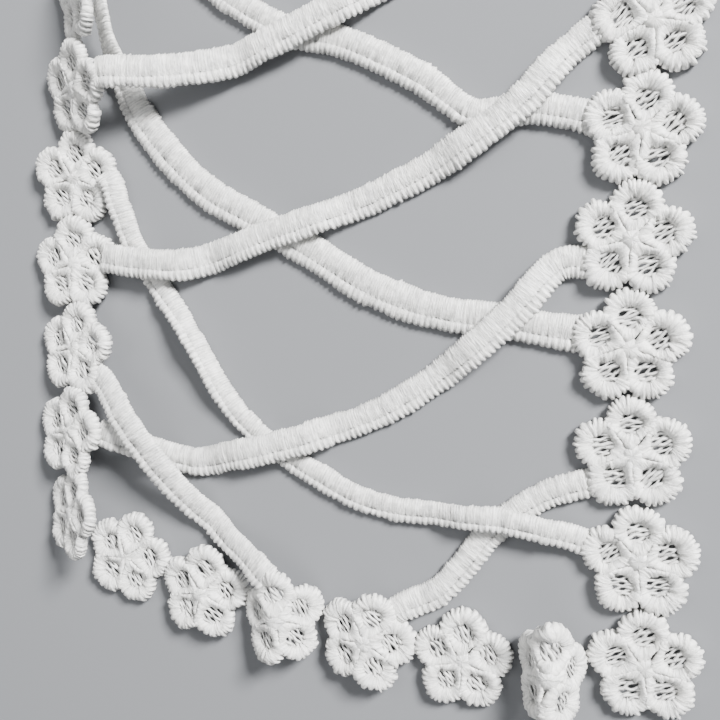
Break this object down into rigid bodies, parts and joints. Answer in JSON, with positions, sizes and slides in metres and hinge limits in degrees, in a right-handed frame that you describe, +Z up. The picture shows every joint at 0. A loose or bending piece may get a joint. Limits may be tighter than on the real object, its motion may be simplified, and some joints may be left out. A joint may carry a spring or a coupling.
{
  "type": "lace neck patch",
  "caption": "Horseshoe neck patch of guipure lace, flower-chain edges joined by crossing satin bands, laid flat with its face up.",
  "frame": {"origin": "middle of the patch's footprint, at the surface that it lies on", "axes": "+Z up, out of the face of the lace; +Y from the two hems towards the back of the neck; +X from the front shown in the picture to the other front"},
  "size_m": [0.3241, 0.2864, 0.0104],
  "materials": {
    "thread": "satin"
  },
  "bodies": {
    "root": {"band_back_left_1": "thread", "band_back_left_2": "thread", "band_back_left_3": "thread", "band_back_left_4": "thread", "band_back_left_5": "thread", "band_back_left_6": "thread", "band_back_left_7": "thread", "band_back_left_8": "thread", "band_back_right_1": "thread", "band_back_right_2": "thread", "band_back_right_3": "thread", "band_back_right_4": "thread", "band_back_right_5": "thread", "band_back_right_6": "thread", "band_back_right_7": "thread", "band_back_right_8": "thread", "band_left_a": "thread", "band_left_b": "thread", "band_left_c": "thread", "band_left_d": "thread", "band_left_e": "thread", "band_left_f": "thread", "band_left_g": "thread", "band_left_h": "thread", "band_right_a": "thread", "band_right_b": "thread", "band_right_c": "thread", "band_right_d": "thread", "band_right_e": "thread", "band_right_f": "thread", "band_right_g": "thread", "band_right_h": "thread", "chain_back_neck_1": "thread", "chain_back_neck_2": "thread", "chain_back_neck_3": "thread", "chain_back_neck_4": "thread", "chain_back_neck_5": "thread", "chain_back_outer_1": "thread", "chain_back_outer_2": "thread", "chain_back_outer_3": "thread", "chain_back_outer_4": "thread", "chain_back_outer_5": "thread", "chain_back_outer_6": "thread", "chain_left_hem": "thread", "chain_left_neck": "thread", "chain_left_outer": "thread", "chain_right_hem": "thread", "chain_right_neck": "thread", "chain_right_outer": "thread"}
  },
  "joints": []
}
